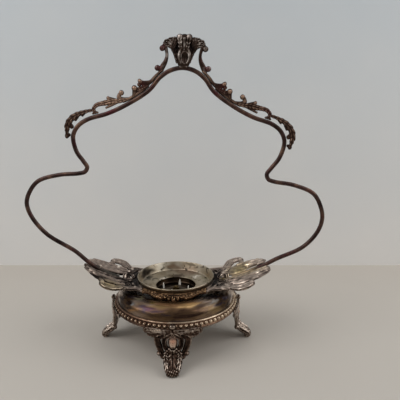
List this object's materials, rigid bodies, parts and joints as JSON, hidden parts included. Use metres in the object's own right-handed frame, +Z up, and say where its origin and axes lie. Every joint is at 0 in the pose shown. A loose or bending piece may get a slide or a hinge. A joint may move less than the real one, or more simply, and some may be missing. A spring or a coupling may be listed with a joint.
{
  "type": "brides basket stand",
  "caption": "Footed silver-plate stand for a glass bowl: round spun base with beaded border on cast legs, bowl cup with pierced leaf wings and a tall fixed rod handle with leaf crest.",
  "frame": {"origin": "on the table, on the axis of the base and bowl cup", "axes": "+Z up, X along the handle's plane and the wings, -Y towards the front leg"},
  "size_m": [0.3176, 0.1676, 0.3228],
  "materials": {
    "leg_silver": "worn cast silver plate, dark in the recesses",
    "border_silver": "worn silver plate browned by tarnish, bright on the beads",
    "tarnished_shell": "smooth spun silver plate with brown, orange and violet tarnish",
    "cup_silver": "smooth silver plate, olive grey with dark spots",
    "dark_silver": "silver plate gone dark and coppery",
    "wing_silver": "worn cast silver plate, black in the recesses",
    "handle_brown": "plated rod and castings with dark brown tarnish",
    "fixing_brass": "plain turned brass, dulled"
  },
  "bodies": {
    "root": {"leg_front": "leg_silver", "leg_right": "leg_silver", "leg_back": "leg_silver", "leg_left": "leg_silver", "base_shell": "tarnished_shell", "base_border": "border_silver", "foot_pan": "dark_silver", "bowl_cup": "cup_silver", "prong_crown": "cup_silver", "tie_bolt": "fixing_brass", "top_nut": "fixing_brass", "base_washer": "fixing_brass", "base_nut": "fixing_brass", "wing_left": "wing_silver", "wing_right": "wing_silver", "gallery_front": "dark_silver", "gallery_back": "dark_silver", "handle_rod": "handle_brown", "crest": "handle_brown", "garland_left": "handle_brown", "garland_right": "handle_brown"}
  },
  "joints": []
}
